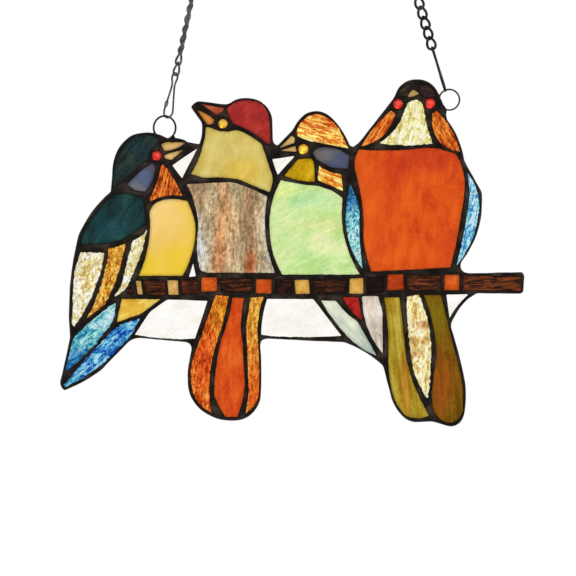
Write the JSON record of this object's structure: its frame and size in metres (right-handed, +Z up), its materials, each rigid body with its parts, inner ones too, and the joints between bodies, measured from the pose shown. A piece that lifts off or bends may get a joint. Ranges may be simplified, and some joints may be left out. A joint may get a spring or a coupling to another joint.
{
  "type": "stained glass panel",
  "caption": "Hanging stained glass panel of birds perched on a branch, coloured panes in dark solder, with rings, wire hooks and short chains.",
  "frame": {"origin": "the hanging point, midway between the tops of the two end rings, in the mid-plane of the glass", "axes": "+X to the viewer's right along the panel, +Z up, the front faces -Y"},
  "size_m": [0.3301, 0.0104, 0.3242],
  "materials": {
    "solder": "solder bead with a black patina, soft sheen",
    "hanging_metal": "dark bronze plated wire",
    "glass_amber": "coloured art glass, streaky",
    "glass_bark": "coloured art glass, streaky",
    "glass_blue": "coloured art glass, streaky",
    "glass_clear": "clear, faintly wavy",
    "glass_cream": "coloured art glass, streaky",
    "glass_crimson": "coloured art glass, streaky",
    "glass_gold": "coloured art glass, streaky",
    "glass_ivory": "coloured art glass, streaky",
    "glass_khaki": "coloured art glass, streaky",
    "glass_mint": "coloured art glass, streaky",
    "glass_mustard": "coloured art glass, streaky",
    "glass_olive": "coloured art glass, streaky",
    "glass_orange": "coloured art glass, streaky",
    "glass_pearl": "coloured art glass, streaky",
    "glass_rust": "coloured art glass, streaky",
    "glass_sky": "coloured art glass, streaky",
    "glass_slate": "coloured art glass, streaky",
    "glass_teal": "coloured art glass, streaky",
    "glass_umber": "coloured art glass, streaky",
    "glass_yellow": "coloured art glass, streaky"
  },
  "bodies": {
    "root": {"solder": "solder", "ring_left": "hanging_metal", "hook_left": "hanging_metal", "chain_left": "hanging_metal", "end_ring_left": "hanging_metal", "ring_right": "hanging_metal", "hook_right": "hanging_metal", "chain_right": "hanging_metal", "end_ring_right": "hanging_metal", "teal_head": "glass_teal", "teal_cheek": "glass_slate", "teal_throat": "glass_rust", "teal_back": "glass_teal", "teal_breast": "glass_yellow", "teal_wing_outer": "glass_cream", "teal_wing_middle": "glass_amber", "teal_wing_inner": "glass_cream", "teal_tail_upper": "glass_sky", "teal_tail_lower": "glass_blue", "teal_belly": "glass_gold", "redcap_crown": "glass_crimson", "redcap_neck": "glass_khaki", "redcap_breast": "glass_bark", "redcap_tail_left": "glass_rust", "redcap_tail_middle": "glass_orange", "redcap_tail_right": "glass_gold", "green_crown": "glass_orange", "green_cheek": "glass_slate", "green_chin": "glass_mustard", "green_nape": "glass_orange", "green_breast": "glass_mint", "green_tail_left": "glass_pearl", "green_tail_middle": "glass_crimson", "green_tail_right": "glass_pearl", "orange_crown_left": "glass_umber", "orange_crown_right": "glass_umber", "orange_cheek_left": "glass_rust", "orange_throat": "glass_ivory", "orange_cheek_right": "glass_rust", "orange_breast": "glass_orange", "orange_wing_left": "glass_sky", "orange_wing_right": "glass_sky", "orange_tail_left": "glass_mustard", "orange_tail_middle": "glass_ivory", "orange_tail_right": "glass_olive", "branch_1": "glass_umber", "branch_2": "glass_umber", "branch_3": "glass_umber", "branch_4": "glass_umber", "branch_5": "glass_umber", "branch_6": "glass_umber", "branch_7": "glass_umber", "branch_8": "glass_umber", "branch_9": "glass_umber", "clear_beak_gap": "glass_clear", "clear_neck_gap": "glass_clear", "clear_left": "glass_clear", "clear_middle": "glass_clear", "clear_right": "glass_clear"}
  },
  "joints": []
}
